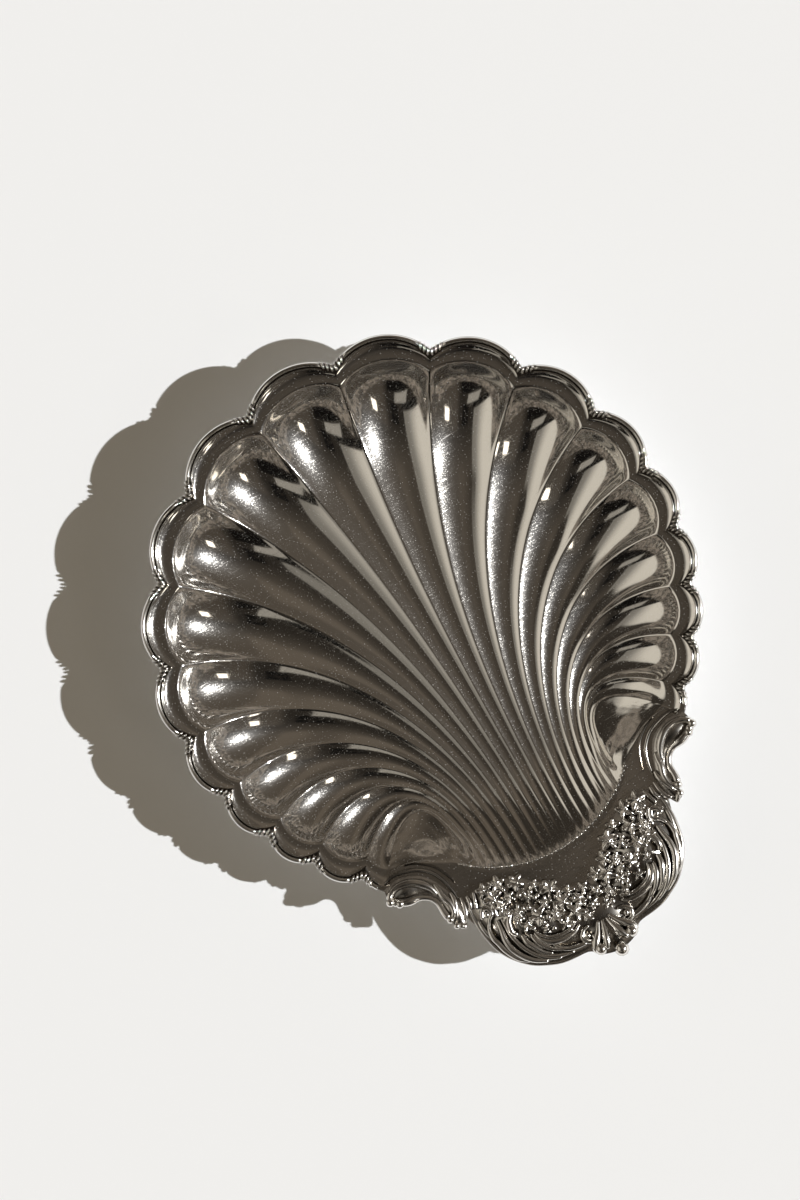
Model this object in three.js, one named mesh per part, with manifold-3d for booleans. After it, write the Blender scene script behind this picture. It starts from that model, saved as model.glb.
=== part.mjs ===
import * as THREE from 'three';
import { mergeVertices } from 'three/addons/utils/BufferGeometryUtils.js';
import ManifoldModule from 'manifold-3d';

const wasm = await ManifoldModule();
wasm.setup();

// Plan of the shell, in millimetres and degrees: Y runs from the handle to the front lobe, Z is up
const shellRadius = 110; // circle through the notches of the rim
const lobesPerSide = 8; // full lobes on each side of the front one
const mouthHalf = 68; // half the gap between the ends of the rim, which the handle fills
const lobeSpread = 5.3; // the front lobe is wider than the mean by this angle, the last one narrower
const earLobe = 5.1; // angle of the half lobe that runs into the handle
const earTip = 0.8; // rim angle of the smooth pocket beside the handle
const rimBulge = 0.225; // rise of a rim lobe as a share of its chord
const lipBulge = 0.19; // the same for the lip of the bowl
const lipInset = 8.5; // rim notch to lip notch
const heelRadius = 57.3; // arc that closes the bowl at the handle
const heelSetback = 52.4; // centre of that arc behind the centre of the shell
const heelSpan = 44.2; // half angle of the arc

// Pressed sheet
const lipHeight = 28; // floor to bowl lip
const bandRise = 1.5; // concave band, from the lip up to the seat of the mounts
const bowlDepth = 14.6; // lip to the ridges on the level bottom of the bowl
const lipRun = 45; // width of the rounded wall inside the lip
const heelRun = 42; // the same at the heel
const earRun = 16; // the same beside the ear
const scoopRun = 4; // rounding where a flute ends at the lip
const fluteRatio = 0.165; // depth of a flute to its width
const wall = 1.2;
const sheetInset = 0.5; // sheet edge behind the face of the border

// Mounts and feet
const gap = 0.3; // solder line between the sheet and what is fixed to it
const borderWidth = 3.2;
const borderHeight = 3.2; // with its ties
const plateHeight = 1.6; // ground of the handle mounts
const crestHalf = 47; // half the width of the handle crest
const crestNear = 107.6; // shoulders of the crest behind the centre of the shell
const crestDepth = 51; // shoulders to tip
const crestRoll = 2.1; // radius of the rolls on the crest
const flowerRadius = 4.6;
const scrollGap = 1.5; // end of the rim border to the scroll
const scrollClear = 4; // tail of the scroll beyond the side of the crest
const scrollRoll = 2; // radius of the rolls on a scroll
const footRadius = 6.5;
const footSpread = 44; // front feet, each side of the axis
const footFront = 30; // front feet ahead of the centre of the shell
const footBack = 80; // heel foot behind it

// Values that follow from the sizes
const radians = THREE.MathUtils.degToRad;
const mix = THREE.MathUtils.lerp;
const plan = shellRadius / 110;
const lastRidge = lobesPerSide + 1.5;
const earEdge = lobesPerSide + 2.5;
const rimSpan = Math.PI - Math.asin(mouthHalf / shellRadius) - radians(earLobe + earTip);
const lobeMean = (rimSpan + radians(lobeSpread) / 2) / (lobesPerSide + 0.5);
const lobeSwing = radians(lobeSpread) / (2 * Math.sin(Math.PI / 2 / lobesPerSide));
const seat = lipHeight + bandRise;
const mountBase = seat + gap;
const mountTop = mountBase + plateHeight;
const silver = { color: 0xd9d6cf, roughness: 0.12, metalness: 1 };

// Angle from the front of a flute position: whole numbers are troughs, halves are ridges
function fluteAngle(position) {
  const side = Math.abs(position);
  const part = Math.min(side, lobesPerSide + 0.5);
  const lobes = lobeMean * part + lobeSwing * Math.sin((Math.PI * part) / lobesPerSide);
  const ear = radians(earLobe) * THREE.MathUtils.clamp(side - lobesPerSide - 0.5, 0, 1);
  const tip = radians(earTip) * Math.max(side - lastRidge, 0);
  return Math.sign(position) * (lobes + ear + tip);
}

// Radius of a scalloped line: one arc for each lobe between notches, trimmed all along if asked
function lobeRadius(position, notch, bulge, trim) {
  const side = Math.min(Math.abs(position), lastRidge);
  const lobe = Math.round(Math.min(side, lobesPerSide + 0.499));
  const ear = side > lobesPerSide + 0.5;
  const width = lobeMean + radians(lobeSpread) * Math.cos((Math.PI * lobe) / lobesPerSide);
  const half = ear ? radians(earLobe) : width / 2;
  const off = ear ? (lastRidge - side) * half : (side - lobe) * width;
  const chord = 2 * notch * Math.sin(half);
  const arc = (chord * (1 / bulge + 4 * bulge)) / 8;
  const centre = notch * Math.cos(half) + bulge * chord - arc;
  return centre * Math.cos(off) + Math.sqrt((arc - trim) ** 2 - (centre * Math.sin(off)) ** 2);
}

function polar(angle, radius) {
  return new THREE.Vector2(radius * Math.sin(angle), radius * Math.cos(angle));
}

function mirrored(point, side) {
  return new THREE.Vector2(side < 0 ? -point.x : point.x, point.y);
}

function rimPoint(position, trim) {
  return polar(fluteAngle(position), lobeRadius(position, shellRadius, rimBulge, trim));
}

function lipPoint(position) {
  return polar(fluteAngle(position), lobeRadius(position, shellRadius - lipInset, lipBulge, 0));
}

function heelPoint(side) {
  const angle = radians((heelSpan * side) / earEdge);
  return new THREE.Vector2(heelRadius * Math.sin(angle), -heelSetback - heelRadius * Math.cos(angle));
}

// Plan line of a flute, from the heel arc to the lip
function flutePath(side) {
  const share = side / lastRidge;
  const start = heelPoint(side);
  const leave = new THREE.Vector2(-0.1 * share, 1).multiplyScalar(mix(95, 40, share) * plan);
  const arrive = shellRadius - lipInset - mix(70, 20, share) * plan;
  const bend = polar(fluteAngle(side), arrive);
  return new THREE.CubicBezierCurve(start, leave.add(start), bend, lipPoint(side));
}

// Edge of the smooth pocket, from the heel arc to the rim beside the handle
const earStart = heelPoint(earEdge);
const earEnd = lipPoint(earEdge);
const earPath = new THREE.CubicBezierCurve(
  earStart,
  new THREE.Vector2(6.5, 6.2).multiplyScalar(plan).add(earStart),
  new THREE.Vector2(-8.7, 0.4).multiplyScalar(plan).add(earEnd),
  earEnd,
);

function planPoint(position, along) {
  const side = Math.abs(position);
  const pocket = Math.max(side - lastRidge, 0);
  const point = flutePath(Math.min(side, lastRidge)).getPoint(along).lerp(earPath.getPoint(along), pocket);
  return mirrored(point, position);
}

// Rounded wall of the bowl: steep at its edge and level from its run on
function cove(distance, run) {
  return 1 - Math.max(1 - distance / run, 0) ** 2.3;
}

function settle(distance, run) {
  return 1 - Math.exp(-distance / run);
}

// Bowl without its flutes
function bowlPoint(position, along) {
  const point = planPoint(position, along);
  const heelWall = cove(point.distanceTo(planPoint(position, 0)), heelRun);
  const lipWall = cove(point.distanceTo(planPoint(position, 1)), lipRun);
  const earWall = cove(point.distanceTo(mirrored(earPath.getPoint(along), position)), earRun);
  const level = lipHeight + bandRise * (1 - THREE.MathUtils.smoothstep(along, 0, 1));
  return new THREE.Vector3(point.x, point.y, level - bowlDepth * heelWall * lipWall * earWall);
}

// Depth of a flute: a concave trough between ridges that are sharp at the lip and round at the heel
function fluteDrop(position, along) {
  const trough = THREE.MathUtils.clamp(Math.round(position), 0.5 - earEdge, earEdge - 0.5);
  const width = planPoint(trough - 0.5, along).distanceTo(planPoint(trough + 0.5, along));
  const across = Math.min(2 * Math.abs(position - trough), 1);
  const ridge = mix(0.3, 0.07, along);
  const top = ridge + ((1 - ridge) * (1 - across) ** 2) / ridge;
  const shape = across < 1 - ridge ? 1 - across ** 2 : top;
  const point = planPoint(position, along);
  const fromEar = point.distanceTo(mirrored(earPath.getPoint(along), position));
  const fromLip = point.distanceTo(planPoint(position, 1));
  const fromHeel = point.distanceTo(planPoint(position, 0));
  const ends = settle(fromLip, scoopRun) * settle(fromHeel, 3 * plan) * settle(fromEar, 4 * plan);
  const pocket = Math.abs(trough) > lastRidge ? 0.4 : 1; // the ear pocket is nearly plain
  return fluteRatio * width * shape * ends * pocket;
}

function topPoint(position, along) {
  const point = bowlPoint(position, along);
  point.z -= fluteDrop(position, along);
  return point;
}

// Direction through the sheet, square to the plain bowl
function sheetNormal(position, along) {
  const left = bowlPoint(Math.max(position - 0.5, -earEdge), along);
  const right = bowlPoint(Math.min(position + 0.5, earEdge), along);
  const back = bowlPoint(position, Math.max(along - 0.03, 0));
  const front = bowlPoint(position, Math.min(along + 0.03, 1));
  const normal = right.sub(left).cross(front.sub(back)).normalize();
  const onEdge = along === 0 || along === 1 || Math.abs(position) === earEdge;
  if (onEdge) {
    normal.add(new THREE.Vector3(0, 0, 1)).normalize();
  }
  return normal;
}

function underPoint(position, along, depth) {
  return topPoint(position, along).addScaledVector(sheetNormal(position, along), -depth);
}

// Stations across the flutes and along them, closer near the ends
const stations = [];
for (let trough = 0.5 - earEdge; trough < earEdge; trough += 1) {
  for (const across of [-1, -0.55, 0, 0.55]) {
    stations.push(trough + across / 2);
  }
}
stations.push(earEdge);
const rowCount = 12;
const rows = [];
for (let row = 0; row <= rowCount; row += 1) {
  rows.push((1 - Math.cos((Math.PI * row) / rowCount)) / 2);
}

// Place on the handle crest: across in half widths from the axis, down from its shoulders to its tip
function crestSpot(across, down) {
  return new THREE.Vector2(across * crestHalf, -crestNear - down * crestDepth);
}

// Edge of the ledge under the handle mounts, right side, from the ear to the axis
const ledgeStart = rimPoint(earEdge, sheetInset);
const waist = crestSpot(1, 0.027).add(new THREE.Vector2(scrollClear / 2, 0));
const ledgeEar = new THREE.CubicBezierCurve(
  ledgeStart,
  ledgeStart.clone().lerp(waist, 1 / 3).add(new THREE.Vector2(0, -2.7).multiplyScalar(plan)),
  ledgeStart.clone().lerp(waist, 2 / 3).add(new THREE.Vector2(-4.5, 0).multiplyScalar(plan)),
  waist,
);
const ledgeHeel = new THREE.CubicBezierCurve(
  waist,
  crestSpot(1, 0.28),
  crestSpot(0.85, 0.84),
  crestSpot(0, 0.84),
);

// Outline of the bowl in order, each stop with its place on the outer edge of the sheet
function sheetOutline() {
  const stops = [];
  for (const position of stations) {
    stops.push({ position, along: 1, outer: rimPoint(position, sheetInset) });
  }
  for (const along of rows.slice(1, -1).reverse()) {
    stops.push({ position: earEdge, along, outer: ledgeEar.getPoint(1 - along) });
  }
  for (const position of [...stations].reverse()) {
    const outer = ledgeHeel.getPoint(1 - Math.abs(position) / earEdge);
    stops.push({ position, along: 0, outer: mirrored(outer, position) });
  }
  for (const along of rows.slice(1, -1)) {
    stops.push({ position: -earEdge, along, outer: mirrored(ledgeEar.getPoint(1 - along), -1) });
  }
  return stops;
}

// Closed surface collected from points and faces
class Skin {
  constructor() {
    this.points = [];
    this.faces = [];
  }

  add(x, y, z) {
    this.points.push(x, y, z);
    return this.points.length / 3 - 1;
  }

  quad(a, b, c, d) {
    this.faces.push(a, b, c, a, c, d);
  }

  strip(first, second, closed) {
    const count = closed ? first.length : first.length - 1;
    for (let i = 0; i < count; i += 1) {
      const next = (i + 1) % first.length;
      this.quad(first[i], first[next], second[next], second[i]);
    }
  }

  fan(ring) {
    for (let i = 1; i < ring.length - 1; i += 1) {
      this.faces.push(ring[0], ring[i], ring[i + 1]);
    }
  }

  geometry() {
    const made = new THREE.BufferGeometry();
    made.setAttribute('position', new THREE.Float32BufferAttribute(this.points, 3));
    made.setIndex(this.faces);
    return made;
  }
}

// Grid of a skin's points over the bowl, by station and row
function bowlGrid(skin, pointAt) {
  return stations.map((position) => rows.map((along) => {
    const point = pointAt(position, along);
    return skin.add(point.x, point.y, point.z);
  }));
}

function onOutline(grid, stop) {
  return grid[stations.indexOf(stop.position)][rows.indexOf(stop.along)];
}

// Pressed sheet: bowl, concave band and heel ledge in one piece
function shellBody() {
  const skin = new Skin();
  const top = bowlGrid(skin, topPoint);
  const under = bowlGrid(skin, (position, along) => underPoint(position, along, wall));
  for (let i = 0; i < stations.length - 1; i += 1) {
    skin.strip(top[i + 1], top[i], false);
    skin.strip(under[i], under[i + 1], false);
  }
  const stops = sheetOutline();
  const bandRing = (across, climb, drop) => stops.map((stop) => {
    const lip = topPoint(stop.position, stop.along);
    const x = mix(lip.x, stop.outer.x, across);
    const y = mix(lip.y, stop.outer.y, across);
    return skin.add(x, y, mix(lip.z, seat, climb) - drop);
  });
  let upper = stops.map((stop) => onOutline(top, stop));
  for (const ring of [bandRing(0.32, 0.25, 0), bandRing(0.6, 1, 0), bandRing(1, 1, 0)]) {
    skin.strip(upper, ring, true);
    upper = ring;
  }
  let lower = stops.map((stop) => onOutline(under, stop));
  for (const ring of [bandRing(0.32, 0.25, wall), bandRing(1, 1, wall)]) {
    skin.strip(ring, lower, true);
    lower = ring;
  }
  skin.strip(upper, lower, true);
  return skin.geometry();
}

// Moulded border on the rim band: a lip, a groove and a round bead, bound by ties at the notches
const borderStop = lastRidge - 0.3;
function rimBorder() {
  const section = [
    [1, 0],
    [1, 0.25],
    [0.76, 0.36],
    [0.6, 0.84],
    [0.42, 0.88],
    [0.24, 0.38],
    [0.1, 0.5],
    [0, 0.32],
    [0, 0],
  ];
  const tieSwell = 1.3;
  const tie = 0.44; // place of a tie from the middle of its lobe
  const tieHalf = 0.06;
  const skin = new Skin();
  const rings = [];
  const addRing = (position, swell) => {
    const ring = section.map(([across, height]) => {
      const spot = rimPoint(position, borderWidth * across);
      return skin.add(spot.x, spot.y, mountBase + (borderHeight / tieSwell) * swell * height);
    });
    rings.push(ring);
  };
  addRing(-borderStop, 1);
  for (let lobe = -lobesPerSide; lobe <= lobesPerSide; lobe += 1) {
    addRing(lobe - 0.5, 1);
    addRing(lobe - tie, tieSwell);
    for (const share of [-1, -0.5, 0, 0.5, 1]) {
      addRing(lobe + share * (tie - tieHalf), 1);
    }
    addRing(lobe + tie, tieSwell);
  }
  addRing(lobesPerSide + 0.5, 1);
  addRing(borderStop, 1);
  for (let i = 0; i < rings.length - 1; i += 1) {
    skin.strip(rings[i + 1], rings[i], true);
  }
  skin.fan(rings[0]);
  skin.fan(rings[rings.length - 1].slice().reverse());
  return skin.geometry();
}

// Solids are joined and cut here
function solid(geometry) {
  const bare = new THREE.BufferGeometry();
  const source = geometry.index ? geometry.toNonIndexed() : geometry;
  bare.setAttribute('position', source.getAttribute('position'));
  const merged = mergeVertices(bare, 1e-3);
  const vertProperties = new Float32Array(merged.getAttribute('position').array);
  const triVerts = new Uint32Array(merged.index.array);
  return new wasm.Manifold(new wasm.Mesh({ numProp: 3, vertProperties, triVerts }));
}

// Mounts are joined and left flat where they lie on the sheet
function mountFrom(parts) {
  const reach = 4 * shellRadius;
  const below = new THREE.BoxGeometry(reach, reach, reach).translate(0, 0, mountBase - reach / 2);
  return parts.reduce((whole, part) => whole.add(part)).subtract(solid(below));
}

function geometryOf(body) {
  const mesh = body.getMesh();
  const made = new THREE.BufferGeometry();
  made.setAttribute('position', new THREE.BufferAttribute(new Float32Array(mesh.vertProperties), 3));
  made.setIndex(new THREE.BufferAttribute(new Uint32Array(mesh.triVerts), 1));
  return made;
}

// Flat ground of a mount, cut to a flowing outline
function ground(spots) {
  const outline = new THREE.SplineCurve([...spots, spots[0].clone()]).getPoints(spots.length * 2);
  const shape = new THREE.Shape(outline.slice(0, -1));
  const plate = new THREE.ExtrudeGeometry(shape, { depth: plateHeight, bevelEnabled: false });
  return solid(plate.translate(0, 0, mountBase));
}

// Rounded roll along a plan line, full in the middle and finer at its ends
function roll(spots, radius, steps) {
  const line = new THREE.SplineCurve(spots);
  const skin = new Skin();
  const sides = 7;
  const rings = [];
  for (let step = 0; step <= steps; step += 1) {
    const share = step / steps;
    const centre = line.getPointAt(share);
    const across = line.getTangentAt(share).rotateAround(new THREE.Vector2(), -Math.PI / 2);
    const size = radius * (0.55 + 0.45 * Math.sin(Math.PI * share));
    const ring = [];
    for (let i = 0; i < sides; i += 1) {
      const turn = (2 * Math.PI * i) / sides;
      const spot = centre.clone().addScaledVector(across, size * Math.cos(turn));
      ring.push(skin.add(spot.x, spot.y, mountTop + size * (0.35 + Math.sin(turn))));
    }
    rings.push(ring);
  }
  for (let i = 0; i < steps; i += 1) {
    skin.strip(rings[i + 1], rings[i], true);
  }
  skin.fan(rings[0]);
  skin.fan(rings[steps].slice().reverse());
  return solid(skin.geometry());
}

function ball(spot, radius) {
  const made = new THREE.SphereGeometry(radius, 8, 5).rotateX(Math.PI / 2);
  return solid(made.translate(spot.x, spot.y, mountTop + radius * 0.3));
}

// Place on the right scroll: along it from the end of the border to its tail, and out from that line
const scrollTop = rimPoint(borderStop, 0).rotateAround(new THREE.Vector2(), -scrollGap / shellRadius);
const scrollTail = crestSpot(1, 0.21).add(new THREE.Vector2(scrollClear, 0));
function scrollSpot(along, out) {
  const line = scrollTail.clone().sub(scrollTop);
  const side = new THREE.Vector2(-line.y, line.x);
  return scrollTop.clone().addScaledVector(line, along).addScaledVector(side, out);
}

// Open C-scroll beside the handle: two rolls on a shaped ground with balls at the ends
function scroll(side) {
  const outline = [
    [0.01, -0.03], [0.1, -0.09], [0.2, -0.21], [0.34, -0.3], [0.48, -0.31], [0.63, -0.26], [0.8, -0.18],
    [0.93, -0.1], [1, 0], [0.94, 0.06], [0.83, 0.02], [0.74, -0.04], [0.64, -0.07], [0.52, -0.08],
    [0.42, -0.02], [0.37, 0.07], [0.29, 0.11], [0.22, 0.16], [0.11, 0.15], [0.04, 0.06],
  ];
  const outer = [[0.16, 0.11], [0.29, 0], [0.42, -0.11], [0.59, -0.13], [0.73, -0.09], [0.87, -0.02]];
  const inner = [[0.07, 0.01], [0.22, -0.13], [0.36, -0.23], [0.49, -0.25], [0.64, -0.2], [0.82, -0.12]];
  const spots = (pairs) => pairs.map(([along, out]) => mirrored(scrollSpot(along, out), side));
  const [start, knuckle, tail] = spots([[0.16, 0.1], [0.31, 0.05], [0.92, -0.01]]);
  return mountFrom([
    ground(spots(outline)),
    roll(spots(outer), scrollRoll, 12),
    roll(spots(inner), 0.85 * scrollRoll, 12),
    ball(start, 1.3 * scrollRoll),
    ball(knuckle, 0.95 * scrollRoll),
    ball(tail, 1.25 * scrollRoll),
  ]);
}

// Flower with rounded petals round a raised middle
function flower(spot, radius) {
  const petals = 5;
  const around = petals * 3;
  const skin = new Skin();
  const profile = [[1, -0.45], [1, 0.1], [0.6, 0.6], [0.3, 0.72]];
  const rings = profile.map(([reach, height]) => {
    const ring = [];
    for (let i = 0; i < around; i += 1) {
      const turn = (2 * Math.PI * i) / around;
      const size = radius * reach * (1 - 0.22 * reach * Math.cos((petals * turn) / 2) ** 2);
      const x = spot.x + size * Math.cos(turn);
      const y = spot.y + size * Math.sin(turn);
      ring.push(skin.add(x, y, mountTop + radius * height));
    }
    return ring;
  });
  for (let i = 0; i < rings.length - 1; i += 1) {
    skin.strip(rings[i], rings[i + 1], true);
  }
  skin.fan(rings[0].slice().reverse());
  skin.fan(rings[rings.length - 1]);
  return solid(skin.geometry());
}

// Handle crest: two garlands of flowers, leaf scrolls round the outside, a bud at the tip
function handleCrest() {
  const rightEdge = [
    [0.2, 0.28], [0.36, 0.13], [0.52, 0.02], [0.7, -0.04], [0.88, -0.04], [0.99, 0.03], [1, 0.15],
    [0.99, 0.28], [0.96, 0.42], [0.89, 0.57], [0.78, 0.69], [0.62, 0.79], [0.43, 0.86], [0.25, 0.88],
    [0.18, 0.96],
  ];
  const leftEdge = rightEdge.map(([across, down]) => [-across, down]).reverse();
  const outline = [[0, 0.35], ...rightEdge, [0, 1], ...leftEdge];
  const band = [
    [0.83, 0.13], [0.92, 0.2], [0.93, 0.38], [0.84, 0.58], [0.65, 0.73], [0.4, 0.8], [0.19, 0.77],
  ];
  const leaf = [[0.77, 0.22], [0.76, 0.39], [0.62, 0.56], [0.4, 0.66], [0.19, 0.68]];
  const garlands = [
    { half: [[0.76, 0.05], [0.45, 0.19], [0.22, 0.39]], middle: [0, 0.46], flowers: 9 },
    { half: [[0.62, 0.27], [0.38, 0.48]], middle: [0, 0.62], flowers: 7 },
  ];
  const spots = (pairs, side) => pairs.map(([across, down]) => mirrored(crestSpot(across, down), side));
  const parts = [ground(spots(outline, 1))];
  for (const side of [-1, 1]) {
    const [upperEye, lowerEye, budLeaf] = spots([[0.84, 0.16], [0.18, 0.75], [0.13, 0.92]], side);
    parts.push(roll(spots(band, side), crestRoll, 14), roll(spots(leaf, side), 0.76 * crestRoll, 10));
    parts.push(ball(upperEye, 1.2 * crestRoll), ball(lowerEye, crestRoll), ball(budLeaf, 1.24 * crestRoll));
  }
  for (const { half, middle, flowers } of garlands) {
    const line = [...spots(half, -1), ...spots([middle], 1), ...spots(half, 1).reverse()];
    const curve = new THREE.SplineCurve(line);
    for (let i = 0; i < flowers; i += 1) {
      const share = i / (flowers - 1);
      const full = 0.76 + 0.28 * Math.sin(Math.PI * share);
      parts.push(flower(curve.getPointAt(share), flowerRadius * full));
    }
  }
  parts.push(ball(crestSpot(0, 0.99), 1.7 * crestRoll));
  return mountFrom(parts);
}

// Body that fills the bowl and all above it, to cut the feet where they meet the sheet
function bowlFilling() {
  const skin = new Skin();
  const low = bowlGrid(skin, (position, along) => underPoint(position, along, wall + gap));
  const high = bowlGrid(skin, (position, along) => {
    return underPoint(position, along, wall + gap).setZ(2 * lipHeight);
  });
  for (let i = 0; i < stations.length - 1; i += 1) {
    skin.strip(high[i + 1], high[i], false);
    skin.strip(low[i], low[i + 1], false);
  }
  const stops = sheetOutline();
  skin.strip(stops.map((stop) => onOutline(high, stop)), stops.map((stop) => onOutline(low, stop)), true);
  return solid(skin.geometry());
}

// Bun foot with a short neck, shaped on top to the underside of the bowl
function bunFoot(x, y, filling) {
  const profile = [
    [0, 0], [0.55, 0], [0.9, 0.25], [1, 0.55], [0.88, 0.88], [0.66, 1.08], [0.78, 1.28], [0.95, 3.5],
  ];
  const points = profile.map(([reach, height]) => new THREE.Vector2(reach * footRadius, height * footRadius));
  points.push(new THREE.Vector2(0, 3.5 * footRadius));
  const turned = new THREE.LatheGeometry(points, 16).rotateX(Math.PI / 2);
  return solid(turned.translate(x, y, 0)).subtract(filling);
}

// Assembly, moved so that its origin is under the middle of its outline
const dish = new THREE.Group();
dish.name = 'shell_dish';
function place(name, geometry) {
  const mesh = new THREE.Mesh(geometry, new THREE.MeshStandardMaterial(silver));
  mesh.name = name;
  mesh.geometry.computeVertexNormals();
  dish.add(mesh);
}
place('shell_body', shellBody());
place('rim_border', rimBorder());
place('scroll_left', geometryOf(scroll(-1)));
place('scroll_right', geometryOf(scroll(1)));
place('handle_crest', geometryOf(handleCrest()));
const filling = bowlFilling();
place('foot_front_left', geometryOf(bunFoot(-footSpread, footFront, filling)));
place('foot_front_right', geometryOf(bunFoot(footSpread, footFront, filling)));
place('foot_heel', geometryOf(bunFoot(0, -footBack, filling)));
const middle = new THREE.Box3().setFromObject(dish).getCenter(new THREE.Vector3());
for (const mesh of dish.children) {
  mesh.geometry.translate(-middle.x, -middle.y, 0);
}

export default dish;
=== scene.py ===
import math
import random
import bmesh
import bpy
import numpy as np
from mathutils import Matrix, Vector


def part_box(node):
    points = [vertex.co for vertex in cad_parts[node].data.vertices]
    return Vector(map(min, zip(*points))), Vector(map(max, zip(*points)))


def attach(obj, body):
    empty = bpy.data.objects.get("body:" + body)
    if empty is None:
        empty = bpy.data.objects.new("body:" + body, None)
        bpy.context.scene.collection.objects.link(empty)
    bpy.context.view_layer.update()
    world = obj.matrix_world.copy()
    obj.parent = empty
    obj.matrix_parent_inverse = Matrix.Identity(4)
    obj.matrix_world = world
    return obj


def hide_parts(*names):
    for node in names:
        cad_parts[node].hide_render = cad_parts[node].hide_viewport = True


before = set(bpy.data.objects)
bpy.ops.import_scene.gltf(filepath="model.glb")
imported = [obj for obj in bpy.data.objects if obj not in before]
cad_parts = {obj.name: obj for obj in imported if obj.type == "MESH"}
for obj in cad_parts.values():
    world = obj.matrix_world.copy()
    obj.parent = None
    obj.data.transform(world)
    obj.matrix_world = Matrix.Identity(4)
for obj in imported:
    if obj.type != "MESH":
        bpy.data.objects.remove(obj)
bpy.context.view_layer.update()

scene = bpy.context.scene
scene.view_settings.view_transform = "Standard"
mm = 0.001
weldGap = 0.004 * mm  # points this near each other become one
print("frame loaded")


# node sums: a Calc is one socket of a tree, and + - * / on it add Math nodes
class Calc:
    def __init__(self, tree, socket):
        self.tree = tree
        self.socket = socket

    def __add__(self, other): return sums(self.tree, "ADD", self, other)
    def __radd__(self, other): return sums(self.tree, "ADD", other, self)
    def __sub__(self, other): return sums(self.tree, "SUBTRACT", self, other)
    def __rsub__(self, other): return sums(self.tree, "SUBTRACT", other, self)
    def __mul__(self, other): return sums(self.tree, "MULTIPLY", self, other)
    def __rmul__(self, other): return sums(self.tree, "MULTIPLY", other, self)
    def __truediv__(self, other): return sums(self.tree, "DIVIDE", self, other)
    def __rtruediv__(self, other): return sums(self.tree, "DIVIDE", other, self)
    def __neg__(self): return sums(self.tree, "MULTIPLY", self, -1.0)
    def __abs__(self): return sums(self.tree, "ABSOLUTE", self)


def plug(tree, socket, value):
    if isinstance(value, Calc):
        tree.links.new(value.socket, socket)
    elif isinstance(value, bpy.types.NodeSocket):
        tree.links.new(value, socket)
    else:
        socket.default_value = value


def sums(tree, operation, *values):
    node = tree.nodes.new("ShaderNodeMath")
    node.operation = operation
    for socket, value in zip(node.inputs, values):
        plug(tree, socket, value)
    return Calc(tree, node.outputs[0])


def sine(a): return sums(a.tree, "SINE", a)
def cosine(a): return sums(a.tree, "COSINE", a)
def root(a): return sums(a.tree, "SQRT", a)
def power(a, b): return sums(a.tree, "POWER", a, b)
def floored(a): return sums(a.tree, "FLOOR", a)
def signOf(a): return sums(a.tree, "SIGN", a)
def smaller(a, b): return sums(a.tree, "MINIMUM", a, b)
def larger(a, b): return sums(a.tree, "MAXIMUM", a, b)
def above(a, b): return sums(a.tree, "GREATER_THAN", a, b)
def clamp(a, low, high): return smaller(larger(a, low), high)
def blend(a, b, share): return a + (b - a) * share
def settle(distance, run): return 1.0 - sums(distance.tree, "EXPONENT", -(distance / run))
def cove(distance, run): return 1.0 - power(larger(1.0 - distance / run, 0.0), 2.3)
def reach(x, y): return root(x * x + y * y)
def dome(s, middle, half, height): return height * root(larger(1.0 - power(abs(s - middle) / half, 2.0), 0.0))


def bezier(p0, p1, p2, p3, t):
    s = 1.0 - t
    return s * s * s * p0 + 3.0 * s * s * t * p1 + 3.0 * s * t * t * p2 + t * t * t * p3


def newTree(name, inputs, outputs=("Geometry",), takesMesh=False):
    tree = bpy.data.node_groups.new(name, "GeometryNodeTree")
    if takesMesh:
        tree.interface.new_socket("Geometry", in_out="INPUT", socket_type="NodeSocketGeometry")
    for key, value in inputs.items():
        kind = "NodeSocketInt" if isinstance(value, int) else "NodeSocketFloat"
        tree.interface.new_socket(key, in_out="INPUT", socket_type=kind).default_value = value
    for key in outputs:
        kind = "NodeSocketGeometry" if key == "Geometry" else "NodeSocketFloat"
        tree.interface.new_socket(key, in_out="OUTPUT", socket_type=kind)
    source = tree.nodes.new("NodeGroupInput")
    sink = tree.nodes.new("NodeGroupOutput")
    values = {key: Calc(tree, source.outputs[key]) for key in inputs}
    if takesMesh:
        values["Geometry"] = source.outputs["Geometry"]
    return tree, values, sink


def useTree(tree, group, values):
    node = tree.nodes.new("GeometryNodeGroup")
    node.node_tree = group
    for key, value in values.items():
        plug(tree, node.inputs[key], value)
    return {socket.name: Calc(tree, socket) for socket in node.outputs}


def addNode(tree, kind, values=None, **settings):
    node = tree.nodes.new(kind)
    for key, value in settings.items():
        setattr(node, key, value)
    for key, value in (values or {}).items():
        plug(tree, node.inputs[key], value)
    return node


def placeAt(tree, x, y, z):
    return addNode(tree, "ShaderNodeCombineXYZ", {0: x, 1: y, 2: z}).outputs[0]


def attribute(tree, name):
    return Calc(tree, addNode(tree, "GeometryNodeInputNamedAttribute", {"Name": name}, data_type="FLOAT").outputs[0])


def axesOf(tree, socket):
    return [Calc(tree, axis) for axis in addNode(tree, "ShaderNodeSeparateXYZ", {0: socket}).outputs]


def fieldAxes(tree, kind):
    return axesOf(tree, addNode(tree, kind).outputs[0])


def unitGrid(tree, columns, rows):
    values = {"Size X": 1.0, "Size Y": 1.0, "Vertices X": columns, "Vertices Y": rows}
    return addNode(tree, "GeometryNodeMeshGrid", values).outputs[0]


def unitBall(tree, segments, rings):
    values = {"Segments": segments, "Rings": rings, "Radius": 1.0}
    return addNode(tree, "GeometryNodeMeshUVSphere", values).outputs[0]


def moved(tree, geometry, x, y, z):
    values = {"Geometry": geometry, "Position": placeAt(tree, x, y, z)}
    return addNode(tree, "GeometryNodeSetPosition", values).outputs[0]


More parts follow.
